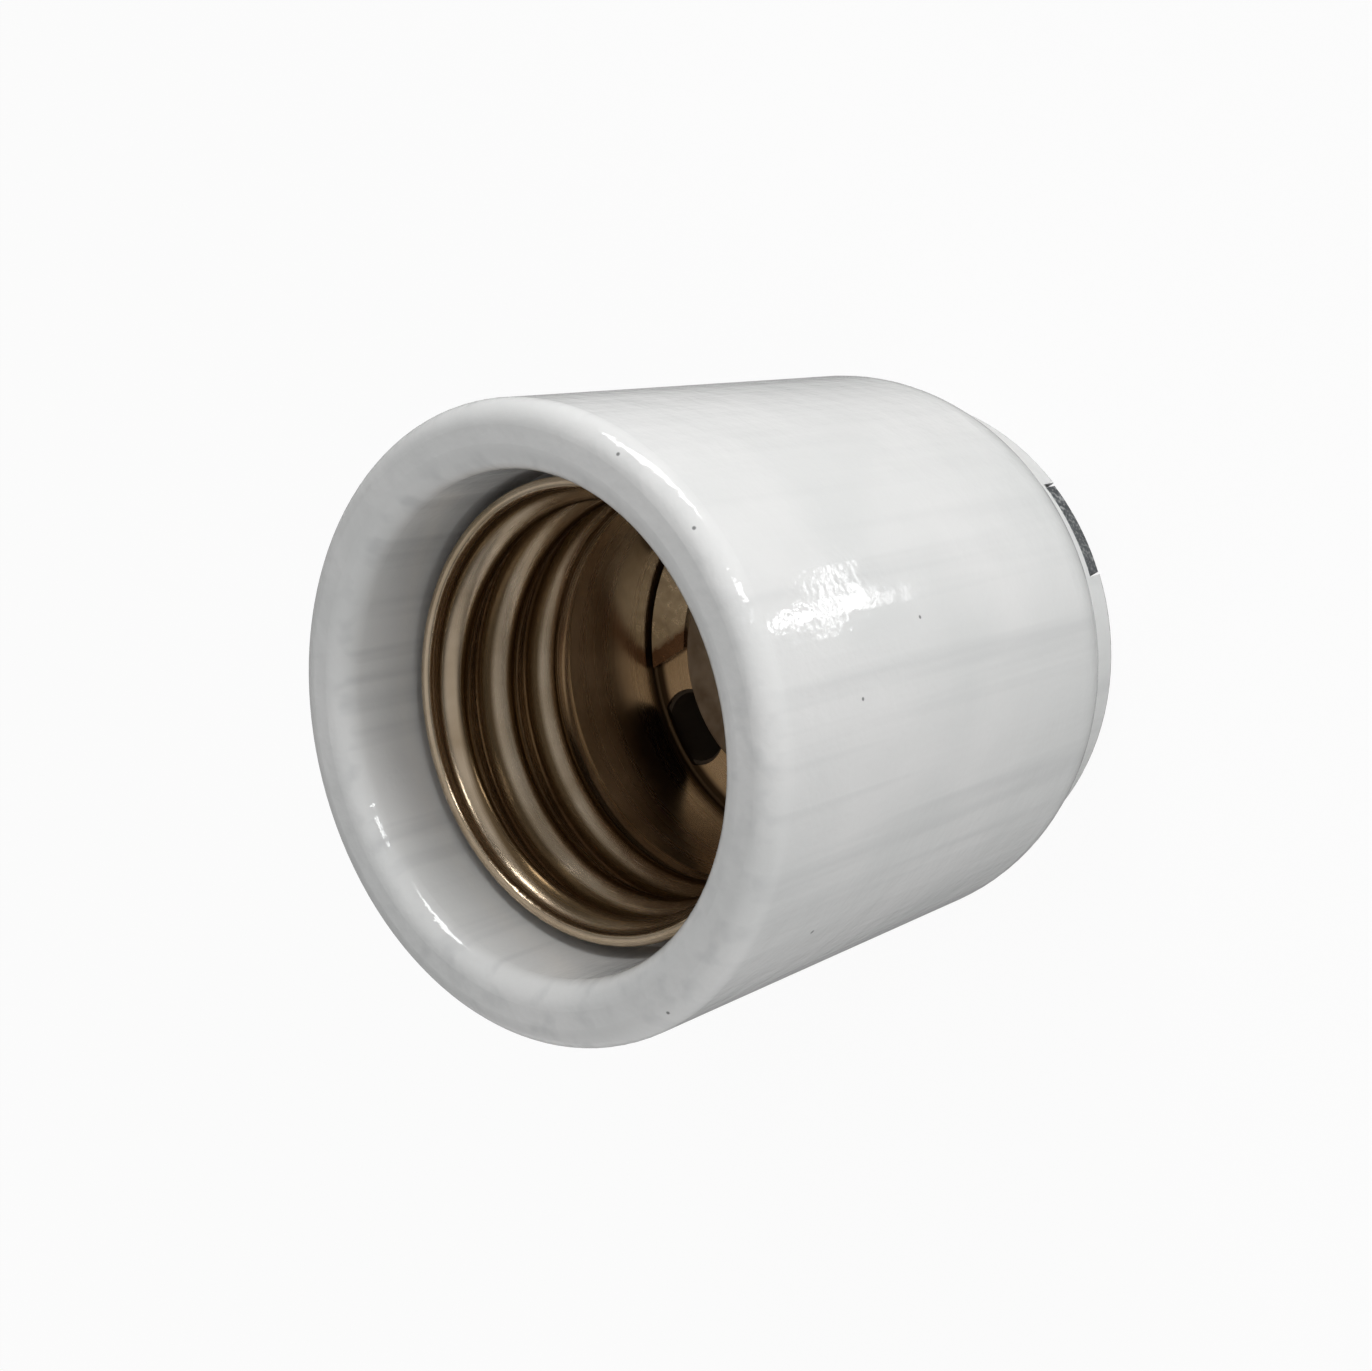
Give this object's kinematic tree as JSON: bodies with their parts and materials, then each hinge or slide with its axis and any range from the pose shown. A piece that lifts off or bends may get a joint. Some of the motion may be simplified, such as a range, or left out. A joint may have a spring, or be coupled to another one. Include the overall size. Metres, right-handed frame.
{
  "type": "lamp holder",
  "caption": "Round porcelain lamp holder with a rolled screw shell, a sprung centre contact, rear screw terminals and a mounting strap across its back.",
  "frame": {"origin": "middle of the back face, on which the holder stands", "axes": "+Z out of the mouth along the lamp's axis, X along the mounting strap"},
  "size_m": [0.055, 0.055, 0.057],
  "materials": {
    "glazed_porcelain": "glossy white glaze",
    "nickel_plated_brass": "polished nickel plate over rolled brass",
    "tinned_bronze": "satin tin over bronze, bare at the cut end",
    "mica_board": "pressed mica board, semi-matt",
    "brass": "turned or stamped brass",
    "spring_steel": "bright spring steel",
    "nickel_plated_steel": "nickel plate",
    "zinc_plated_steel": "dull zinc plate, dark at the sheared ends"
  },
  "bodies": {
    "holder": {"porcelain_body": "glazed_porcelain", "screw_shell": "nickel_plated_brass", "shell_contact_strip": "tinned_bronze", "contact_insulator": "mica_board", "contact_spring": "spring_steel", "contact_guide_bush": "brass", "contact_terminal": "brass", "shell_terminal": "brass", "mounting_strap": "zinc_plated_steel", "strap_screw_left": "nickel_plated_steel", "strap_screw_right": "nickel_plated_steel", "strap_lock_washer_left": "spring_steel", "strap_lock_washer_right": "spring_steel", "shell_rivet_a": "nickel_plated_brass", "shell_rivet_b": "nickel_plated_brass", "shell_rivet_c": "nickel_plated_brass", "shell_rivet_d": "nickel_plated_brass", "rivet_washer_c": "brass", "rivet_washer_d": "brass"},
    "contact_plunger": {"contact_head": "nickel_plated_brass", "contact_stem": "brass", "contact_retaining_clip": "spring_steel"},
    "contact_clamp": {"contact_clamp_washer": "zinc_plated_steel"},
    "contact_screw": {"contact_terminal_screw": "nickel_plated_steel"},
    "shell_clamp": {"shell_clamp_washer": "zinc_plated_steel"},
    "shell_screw": {"shell_terminal_screw": "nickel_plated_steel"}
  },
  "joints": [
    {"name": "contact_press", "type": "slide", "parent": "holder", "child": "contact_plunger", "axis": [0, 0, -1], "range_m": [0, 0.0025], "stiffness_N_per_m": 1500, "springref_m": -0.0015, "deforming": ["contact_spring"]},
    {"name": "contact_clamp_slide", "type": "slide", "parent": "holder", "child": "contact_clamp", "axis": [0, 0, -1], "range_m": [0, 0.0028]},
    {"name": "contact_screw_turn", "type": "hinge", "parent": "contact_clamp", "child": "contact_screw", "pos_m": [0, -0.014, 0.0045], "axis": [0, 0, -1], "range_deg": [0, 1441]},
    {"name": "shell_clamp_slide", "type": "slide", "parent": "holder", "child": "shell_clamp", "axis": [0, 0, -1], "range_m": [0, 0.0028]},
    {"name": "shell_screw_turn", "type": "hinge", "parent": "shell_clamp", "child": "shell_screw", "pos_m": [0, 0.014, 0.0045], "axis": [0, 0, -1], "range_deg": [0, 1441]}
  ],
  "couplings": [
    {"joint": "contact_screw_turn", "follows": "contact_clamp_slide", "rad_per_m": 8976},
    {"joint": "shell_screw_turn", "follows": "shell_clamp_slide", "rad_per_m": 8976}
  ]
}
